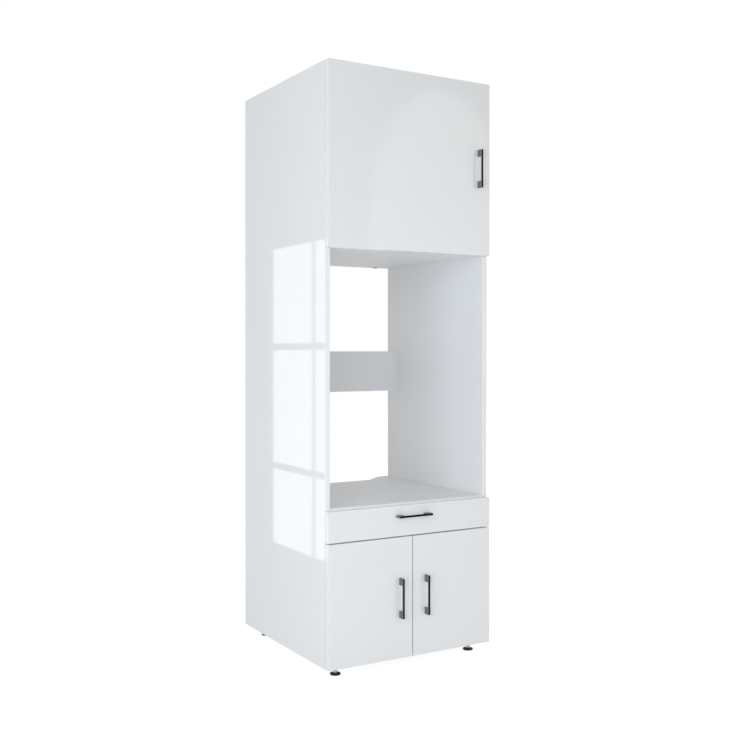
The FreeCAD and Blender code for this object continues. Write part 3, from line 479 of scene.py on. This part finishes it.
def spanner_collar(reach, height, bore):
    """A hexagon for a spanner round a stud, with the corners of its top turned off."""
    sixth, slope = math.pi / 3, 0.6
    flat = reach * math.cos(sixth / 2)
    bm = bmesh.new()
    verts = bmesh.ops.create_circle(bm, segments=24, radius=bore)["verts"]
    edges = bottom = ring_edges(verts)
    for rise, inside in ((0.0, False), (height, False), (height, True)):
        verts, edges = next_ring(bm, edges)
        for v in verts:
            angle = math.atan2(v.co.y, v.co.x)
            radius = bore if inside else flat / math.cos(angle % sixth - sixth / 2)
            dip = slope * max(radius - flat, 0.0) if rise else 0.0
            v.co = (radius * math.cos(angle), radius * math.sin(angle), rise - dip)
    bmesh.ops.bridge_loops(bm, edges=bottom + edges)
    bmesh.ops.recalc_face_normals(bm, faces=bm.faces)
    return bm


def solids_of(node):
    """The separate solids of a node, each as a list of points."""
    bm = bmesh.new()
    bm.from_mesh(frame["nodes"][node].data)
    bmesh.ops.remove_doubles(bm, verts=bm.verts, dist=0.001 * MM)
    solids = []
    for vert in bm.verts:
        if vert.tag:
            continue
        vert.tag = True
        solid, front = [], [vert]
        while front:
            here = front.pop()
            solid.append(here.co.copy())
            for edge in here.link_edges:
                other = edge.other_vert(here)
                if not other.tag:
                    other.tag = True
                    front.append(other)
        solids.append(solid)
    bm.free()
    return solids


def corners(points):
    """The lowest and highest corner of some points."""
    low = Vector([min(p[i] for p in points) for i in range(3)])
    high = Vector([max(p[i] for p in points) for i in range(3)])
    return low, high


def cross_screw(points):
    """A screw drawn anew from its plain solid, with a cross recess in its head. Returns its
    shape, pointing up from the top of the head, the head's spot and the way that it faces."""
    low, high = corners(points)
    middle, size = (low + high) / 2, high - low
    along = max(range(3), key=lambda i: size[i])
    axis = Vector([float(i == along) for i in range(3)])
    reach = {tuple(p): (p - middle - axis * (p - middle).dot(axis)).length for p in points}
    head, slack = max(reach.values()), 0.05 * MM
    rim = [p for p in reach if reach[p] > 0.97 * head]
    up = 1.0 if sum(p[along] for p in rim) / len(rim) > middle[along] else -1.0
    top = high[along] if up > 0 else low[along]
    depths = {p: (top - p[along]) * up for p in reach}
    length = max(depths.values())
    shank = max(reach[p] for p in reach if depths[p] > length - slack)
    rim_depth = max(depths[p] for p in rim)
    neck_depth = min(depths[p] for p in reach if reach[p] < shank + slack and depths[p] > 0)

    # The recess lies in a square of nine faces in the head's flat top: its middle and four arms,
    # twice as wide as arm, are sunk
    bm = bmesh.new()
    half, arm, flat = 0.52 * head, 0.15 * head, 0.78 * head
    grid = bmesh.ops.create_grid(bm, x_segments=3, y_segments=3, size=half)["verts"]
    for v in grid:
        v.co.x = math.copysign(arm if abs(v.co.x) < 0.6 * half else half, v.co.x)
        v.co.y = math.copysign(arm if abs(v.co.y) < 0.6 * half else half, v.co.y)
    faces = {face for v in grid for face in v.link_faces}
    border = [e for e in {edge for face in faces for edge in face.edges} if e.is_boundary]
    border.sort(key=lambda e: math.atan2(e.verts[0].co.y + e.verts[1].co.y,
                                         e.verts[0].co.x + e.verts[1].co.x))
    ring = bmesh.ops.create_circle(bm, segments=12, radius=flat)["verts"]
    half_step = Matrix.Rotation(math.pi / 12, 3, "Z")
    bmesh.ops.rotate(bm, verts=ring, cent=(0, 0, 0), matrix=half_step)
    loop = ring_edges(ring)
    bmesh.ops.bridge_loops(bm, edges=border + loop)
    sunk = [f for f in faces if min(abs(f.calc_center_median().x),
                                    abs(f.calc_center_median().y)) < 0.5 * arm]
    sunk.sort(key=lambda f: math.atan2(*f.calc_center_median().xy))
    bmesh.ops.inset_region(
        bm, faces=sunk, thickness=0.05 * head, depth=-0.4 * head, use_even_offset=True)

    # Then the head's side, the shank and its flat end, ring by ring
    thin_rim = 0.3 * MM
    steps = [(head, -min(rim_depth, thin_rim))]
    if rim_depth > thin_rim:
        steps = [(0.94 * head, -0.22 * rim_depth), (head, -0.6 * rim_depth), (head, -rim_depth)]
    steps += [(shank, -neck_depth - 0.01 * MM), (shank, 0.4 * MM - length), (0.6 * shank, -length)]
    radius, height = flat, 0.0
    for next_radius, next_height in steps:
        verts, loop = next_ring(bm, loop)
        share = next_radius / radius
        bmesh.ops.scale(bm, vec=(share, share, 1.0), verts=verts)
        bmesh.ops.translate(bm, vec=(0, 0, next_height - height), verts=verts)
        radius, height = next_radius, next_height
    bmesh.ops.contextual_create(bm, geom=loop)
    bmesh.ops.recalc_face_normals(bm, faces=bm.faces)
    middle[along] = top
    return bm, middle, axis * up


def new_piece(name, bm, material, body, slot, *replaced, crease=35.0):
    """Makes a finished mesh a piece that rides on a body and wears the named finish."""
    mesh = bpy.data.meshes.new(name)
    bm.to_mesh(mesh)
    bm.free()
    mesh.materials.append(finish(material))
    mesh.polygons.foreach_set("use_smooth", [True] * len(mesh.polygons))
    mesh.set_sharp_from_angle(angle=math.radians(crease))
    piece = bpy.data.objects.new(name, mesh)
    bpy.context.scene.collection.objects.link(piece)
    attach(piece, body)
    if replaced:
        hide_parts(*replaced)


def body_of_node(node):
    """The body that carries a node."""
    for body, nodes in frame["record"]["behaviour"]["bodies"].items():
        if node in nodes:
            return body
    raise RuntimeError("No body carries " + node)


# --- Operators -----------------------------------------------------------------------------


class CABINET_OT_finishes(bpy.types.Operator):
    """Make the finishes and put them on the frame's nodes"""

    bl_idname = "cabinet.finishes"
    bl_label = "Finishes"

    def execute(self, context):
        colours = context.scene.cabinet_colours
        satin = {"dull": 0.62, "bright": 0.54}
        by_slot = {
            "white_gloss_board": white_film(
                "satin_white_board", colours, colours.board, ripple_depth=0.05 * MM, **satin),
            "white_hardboard": hardboard(colours),
            "black_metal": lacquered_handle(colours),
            "nickel_steel": plated_steel(
                "nickel_plated_steel", colours.nickel, roughness=0.24, cloud=30 * MM),
            "zinc_steel": plated_steel(
                "zinc_plated_steel", colours.zinc, roughness=0.34, cloud=12 * MM),
            "white_steel": fine_grained(
                "white_stove_enamel", colours.rail, roughness=0.36, grit=1.6 * MM,
                depth=0.05 * MM),
            "white_nylon": fine_grained(
                "white_nylon", colours.nylon, roughness=0.42, grit=1.2 * MM, depth=0.04 * MM,
                ior=1.53),
            "black_plastic": fine_grained(
                "black_polypropylene", colours.plastic, roughness=0.5, grit=1.0 * MM,
                depth=0.08 * MM, ior=1.49),
            "beech": beech(colours),
        }
        bare_edged = white_film(
            "white_board_bare_edges", colours, colours.board, ripple_depth=0.02 * MM, core=True,
            **satin)
        fronts = white_film(
            "gloss_white_front", colours, colours.front, dull=0.10, bright=0.055,
            ripple_depth=0.06 * MM, satin_rear=True)
        fine_grained(
            "white_abs_band", colours.band, roughness=0.22, grit=1.5 * MM, depth=0.02 * MM,
            ior=1.52)
        clear_rubber(colours)
        slots = {part["node"]: part["material_slot"] for part in frame["record"]["subparts"]}
        for name, node in frame["nodes"].items():
            material = by_slot[slots[name]]
            if name in CORE_BOARDS:
                material = bare_edged
            elif name in FRONTS:
                material = fronts
            if not node.material_slots:
                node.data.materials.append(material)
            for held in node.material_slots:
                held.material = material
        return {"FINISHED"}


class CABINET_OT_edge_bands(bpy.types.Operator):
    """Lay a plastic band on each board's front edge"""

    bl_idname = "cabinet.edge_bands"
    bl_label = "Edge bands"

    def execute(self, context):
        band = context.scene.cabinet_sizes.band
        for board in CORE_BOARDS:
            low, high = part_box(board)
            high = Vector((high.x, low.y, high.z))
            low = Vector((low.x, low.y - band, low.z))
            strip = edge_strip(low, high, rounding=0.6 * band)
            new_piece(board + "_edge_band", strip, "white_abs_band", "carcass",
                      "white_gloss_board")
        return {"FINISHED"}


class CABINET_OT_cam_caps(bpy.types.Operator):
    """Cover the cam locks with domed caps"""

    bl_idname = "cabinet.cam_caps"
    bl_label = "Cam caps"

    def execute(self, context):
        sizes = context.scene.cabinet_sizes
        radius, rise = sizes.cap_radius, sizes.cap_rise
        profile = [
            (0, rise), (0.45 * radius, 0.97 * rise), (0.78 * radius, 0.8 * rise),
            (0.94 * radius, 0.5 * rise), (radius, 0.12 * rise), (radius, 0), (0, 0)]
        bm = bmesh.new()
        for points in solids_of("cam_locks"):
            low, high = corners(points)
            middle = (low + high) / 2
            # A lock opens to the rear, or in a level board to the nearer of its two faces
            spot, outward = Vector((middle.x, high.y, middle.z)), TO_WALL
            for board in LEVEL_BOARDS:
                bottom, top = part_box(board)
                if bottom.z < middle.z < top.z:
                    below = low.z - bottom.z < top.z - high.z
                    outward = -UP if below else UP
                    spot = Vector((middle.x, middle.y, bottom.z if below else top.z))
            place(bm, turned(profile, steps=28), spot, outward)
        new_piece("cam_caps", bm, "white_nylon", "carcass", "white_nylon")
        return {"FINISHED"}


class CABINET_OT_screws(bpy.types.Operator):
    """Draw the screws with cross recesses in their heads"""

    bl_idname = "cabinet.screws"
    bl_label = "Screws"

    def execute(self, context):
        for node in sorted(name for name in frame["nodes"] if name.endswith("_screws")):
            bm = bmesh.new()
            for points in solids_of(node):
                place(bm, *cross_screw(points))
            new_piece(node + "_crossed", bm, "zinc_plated_steel", body_of_node(node),
                      "zinc_steel", node)
        return {"FINISHED"}


class CABINET_OT_foot_studs(bpy.types.Operator):
    """Cut a thread on the studs of the feet"""

    bl_idname = "cabinet.foot_studs"
    bl_label = "Foot studs"

    def execute(self, context):
        pitch = context.scene.cabinet_sizes.thread_pitch
        steps = 20
        # The thread starts below the stud, where neither end's cut meets one of its points
        lead = 1.335 * pitch
        for foot in FEET:
            points = solids_of(foot + "_stud")[0]
            low, high = corners(points)
            axis = (low + high) / 2
            top = [p for p in points if p.z > high.z - 0.1 * MM]
            crest = max((p - axis).xy.length for p in top)
            root = crest - 0.5 * pitch
            # The collar's points lie well outside the thread's
            collar = [p for p in points if (p - axis).xy.length > 1.3 * crest]
            turns = math.ceil((high.z - low.z) / pitch) + 2
            bm = bmesh.new()
            # One turn's section: radius, and height as a share of the pitch
            section = [
                (root, 0), (root, 0.15), (crest, 0.46), (crest, 0.62), (root, 0.93), (root, 1.0)]
            verts = [bm.verts.new((r, 0, z * pitch)) for r, z in section]
            edges = [bm.edges.new(pair) for pair in zip(verts, verts[1:])]
            bmesh.ops.spin(
                bm, geom=verts + edges, axis=UP, cent=(0, 0, 0), dvec=(0, 0, pitch / steps),
                angle=2 * math.pi * turns, steps=steps * turns)
            bmesh.ops.remove_doubles(bm, verts=bm.verts, dist=0.005 * MM)
            bmesh.ops.translate(bm, verts=bm.verts, vec=(axis.x, axis.y, low.z - lead))
            for height, way in ((low.z, -UP), (high.z, UP)):
                cut = bmesh.ops.bisect_plane(
                    bm, geom=bm.verts[:] + bm.edges[:] + bm.faces[:], plane_co=(0, 0, height),
                    plane_no=way, clear_outer=True)["geom_cut"]
                rim = [e for e in cut if isinstance(e, bmesh.types.BMEdge)]
                bmesh.ops.edgeloop_fill(bm, edges=rim)
            bmesh.ops.recalc_face_normals(bm, faces=bm.faces)
            base, rim = corners(collar)
            spot = Vector((axis.x, axis.y, base.z))
            place(bm, spanner_collar((rim.x - base.x) / 2, rim.z - base.z, root), spot, UP)
            new_piece(foot + "_thread", bm, "zinc_plated_steel", foot, "zinc_steel",
                      foot + "_stud", crease=25.0)
        return {"FINISHED"}


class CABINET_OT_bumpers(bpy.types.Operator):
    """Put soft dots behind the doors and the drawer front"""

    bl_idname = "cabinet.bumpers"
    bl_label = "Bumpers"

    def execute(self, context):
        sizes = context.scene.cabinet_sizes
        radius, rise = sizes.bumper_radius, sizes.bumper_rise
        profile = [
            (0, rise), (0.5 * radius, 0.94 * rise), (0.85 * radius, 0.66 * rise),
            (radius, 0.25 * rise), (radius, 0), (0, 0)]
        mid_edge = (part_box("right_side_panel")[0].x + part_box("upper_door")[1].x) / 2
        floor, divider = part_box("bottom_panel"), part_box("drawer_divider")
        inset = 26 * MM
        spots = {}
        low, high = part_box("upper_door")
        spots["upper_door"] = [(mid_edge, z) for z in (low.z + inset, high.z - inset)]
        for door, way in (("lower_left_door", -1), ("lower_right_door", 1)):
            door_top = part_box(door)[1].z
            spots[door] = [(way * inset, (floor[0].z + floor[1].z) / 2),
                           (way * inset, (divider[0].z + door_top) / 2)]
        low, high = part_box("drawer_front")
        spots["drawer"] = [(way * mid_edge, (low.z + high.z) / 2) for way in (-1, 1)]
        for body, places in spots.items():
            board = "drawer_front" if body == "drawer" else body
            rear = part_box(board)[1].y
            bm = bmesh.new()
            for x, z in places:
                place(bm, turned(profile, steps=20), Vector((x, rear, z)), TO_WALL)
            new_piece(body + "_bumpers", bm, "clear_rubber", body, "white_nylon")
        return {"FINISHED"}


class CABINET_OT_grommet(bpy.types.Operator):
    """Line the cable hole of the niche ceiling"""

    bl_idname = "cabinet.grommet"
    bl_label = "Cable grommet"

    def execute(self, context):
        sizes = context.scene.cabinet_sizes
        flange, bush = sizes.grommet_flange, sizes.bush_radius
        sleeve, wall, lip = CABLE_HOLE_RADIUS - 0.1 * MM, 2.0 * MM, 1.2 * MM
        web, depth, drop = 4.0 * MM, 14.0 * MM, 3.0 * MM
        ring = [
            (bush, web), (sleeve - wall, web), (sleeve - wall, depth), (sleeve, depth),
            (sleeve, 0), (flange, 0), (flange, -0.5 * lip), (flange - 0.8 * MM, -lip),
            (bush, -lip)]
        soft, bore, ease = bush - 0.05 * MM, bush - 3.5 * MM, 0.8 * MM
        liner = [
            (bore, depth), (soft - 0.6 * MM, depth), (soft, depth - 1.0 * MM),
            (soft, ease - drop), (soft - ease, -drop), (bore + ease, -drop), (bore, ease - drop)]
        spot = Vector((*CABLE_HOLE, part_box("niche_ceiling")[0].z))
        for name, profile, material, slot in (
                ("cable_grommet", ring, "white_nylon", "white_nylon"),
                ("cable_bush", liner, "black_polypropylene", "black_plastic")):
            bm = bmesh.new()
            place(bm, turned(profile, steps=40, closed=True), spot, UP)
            new_piece(name, bm, material, "carcass", slot)
        return {"FINISHED"}


class CABINET_OT_stage(bpy.types.Operator):
    """Set up the floor, the light and the camera"""

    bl_idname = "cabinet.stage"
    bl_label = "Stage"

    def execute(self, context):
        scene = context.scene
        light = scene.cabinet_light
        self.add_world(scene, light)
        self.add_floor(scene)
        for name, (spot, height, side, tint) in SOFT_BOXES.items():
            box = self.add_lamp(scene, name, spot, height * UP - spot, shape="SQUARE", size=side,
                                energy=getattr(light, name), color=hex_to_linear(tint))
            box.visible_glossy = False
        wide, tall = OVAL_SIZE
        oval = self.add_lamp(scene, "oval_box", OVAL_PLACE, TO_WALL, shape="ELLIPSE", size=wide,
                             size_y=tall, energy=light.oval_box, color=hex_to_linear(OVAL_TINT))
        oval.visible_diffuse = False
        self.add_panes(scene, light.panes)
        self.add_camera(scene)
        scene.view_settings.view_transform = "Standard"
        return {"FINISHED"}

    @staticmethod
    def seen_white(tree):
        """1 for a ray that shows the background itself, in the picture or in a reflection."""
        path = add_node(tree, "LightPath")
        first = add_node(tree, "Math", {
            0: path.outputs["Is Camera Ray"], 1: path.outputs["Is Glossy Ray"]},
            operation="MAXIMUM")
        return add_node(tree, "Math", {
            0: first.outputs[0], 1: path.outputs["Is Transmission Ray"]},
            operation="MAXIMUM").outputs[0]

    def add_world(self, scene, light):
        """Even soft light and a white background."""
        world = bpy.data.worlds.new("white_studio")
        world.use_nodes = True
        tree = world.node_tree
        tree.nodes.clear()
        soft = add_node(tree, "Background", {
            "Color": toned(hex_to_linear(AMBIENT_TINT)), "Strength": light.ambient})
        white = add_node(tree, "Background", {"Color": (1, 1, 1, 1), "Strength": 1.0})
        mixed = add_node(tree, "MixShader", {
            0: self.seen_white(tree), 1: soft.outputs[0], 2: white.outputs[0]})
        add_node(tree, "OutputWorld", {"Surface": mixed.outputs[0]})
        scene.world = world

    def add_floor(self, scene):
        """A pale floor that is white where light reaches it and keeps the cabinet's shadow."""
        material = bpy.data.materials.new("pale_floor")
        material.use_nodes = True
        tree = material.node_tree
        tree.nodes.clear()
        pale = add_node(tree, "BsdfDiffuse", {"Color": toned(hex_to_linear(FLOOR_PALE))})
        shaded = add_node(tree, "BsdfDiffuse", {"Color": toned(hex_to_linear(FLOOR_SHADED))})
        glow = add_node(tree, "Emission", {"Strength": FLOOR_GLOW})
        lit = add_node(tree, "AddShader", {0: shaded.outputs[0], 1: glow.outputs[0]})
        mixed = add_node(tree, "MixShader", {
            0: self.seen_white(tree), 1: pale.outputs[0], 2: lit.outputs[0]})
        add_node(tree, "OutputMaterial", {"Surface": mixed.outputs[0]})
        bm = bmesh.new()
        bmesh.ops.create_grid(bm, x_segments=4, y_segments=4, size=FLOOR_HALF)
        mesh = bpy.data.meshes.new("floor")
        bm.to_mesh(mesh)
        bm.free()
        mesh.materials.append(material)
        floor = bpy.data.objects.new("floor", mesh)
        scene.collection.objects.link(floor)

    def add_lamp(self, scene, name, spot, way, **settings):
        """A flat soft lamp that shines one way and doesn't show in the picture itself."""
        data = bpy.data.lights.new(name, "AREA")
        for key, value in settings.items():
            setattr(data, key, value)
        lamp = bpy.data.objects.new(name, data)
        lamp.location = spot
        lamp.rotation_euler = way.to_track_quat("-Z", "Y").to_euler()
        lamp.visible_camera = False
        scene.collection.objects.link(lamp)
        return lamp

    def add_panes(self, scene, power):
        """Six upright panes of soft light, which show in the gloss and light nothing else."""
        for left, right in PANE_COLUMNS:
            for low, high in PANE_ROWS:
                wide, tall = right - left, high - low
                pane = self.add_lamp(
                    scene, "pane", Vector((PANES_X, (left + right) / 2, (low + high) / 2)),
                    Vector((1, 0, 0)), energy=power * wide * tall, shape="RECTANGLE", size=wide,
                    size_y=tall)
                pane.visible_diffuse = False

    def add_camera(self, scene):
        """A camera at the photograph's viewing angle."""
        data = bpy.data.cameras.new("camera")
        data.sensor_fit = "HORIZONTAL"
        data.lens = CAMERA_LENS
        data.shift_y = CAMERA_SHIFT
        camera = bpy.data.objects.new("camera", data)
        camera.location = CAMERA_PLACE
        camera.rotation_euler = (math.pi / 2, 0, math.radians(CAMERA_TURN))
        scene.collection.objects.link(camera)
        scene.camera = camera


OPERATORS = (
    CABINET_OT_finishes, CABINET_OT_edge_bands, CABINET_OT_cam_caps, CABINET_OT_screws,
    CABINET_OT_foot_studs, CABINET_OT_bumpers, CABINET_OT_grommet, CABINET_OT_stage,
)


class CABINET_PT_panel(bpy.types.Panel):
    """Lists the steps that dress the cabinet"""

    bl_label = "Washing machine cabinet"
    bl_space_type = "VIEW_3D"
    bl_region_type = "UI"
    bl_category = "Cabinet"

    def draw(self, context):
        for operator in OPERATORS:
            self.layout.operator(operator.bl_idname)
        for group in (context.scene.cabinet_sizes, context.scene.cabinet_colours,
                      context.scene.cabinet_light):
            for name in group.__annotations__:
                self.layout.prop(group, name)


CLASSES = (CabinetSizes, CabinetColours, CabinetLight) + OPERATORS + (CABINET_PT_panel,)


def register():
    for cls in CLASSES:
        bpy.utils.register_class(cls)
    bpy.types.Scene.cabinet_sizes = PointerProperty(type=CabinetSizes)
    bpy.types.Scene.cabinet_colours = PointerProperty(type=CabinetColours)
    bpy.types.Scene.cabinet_light = PointerProperty(type=CabinetLight)


def unregister():
    del bpy.types.Scene.cabinet_light
    del bpy.types.Scene.cabinet_colours
    del bpy.types.Scene.cabinet_sizes
    for cls in reversed(CLASSES):
        bpy.utils.unregister_class(cls)


def main():
    register()
    bpy.ops.cabinet.finishes()
    bpy.ops.cabinet.edge_bands()
    bpy.ops.cabinet.cam_caps()
    bpy.ops.cabinet.screws()
    bpy.ops.cabinet.foot_studs()
    bpy.ops.cabinet.bumpers()
    bpy.ops.cabinet.grommet()
    bpy.ops.cabinet.stage()


if __name__ == "__main__":
    main()
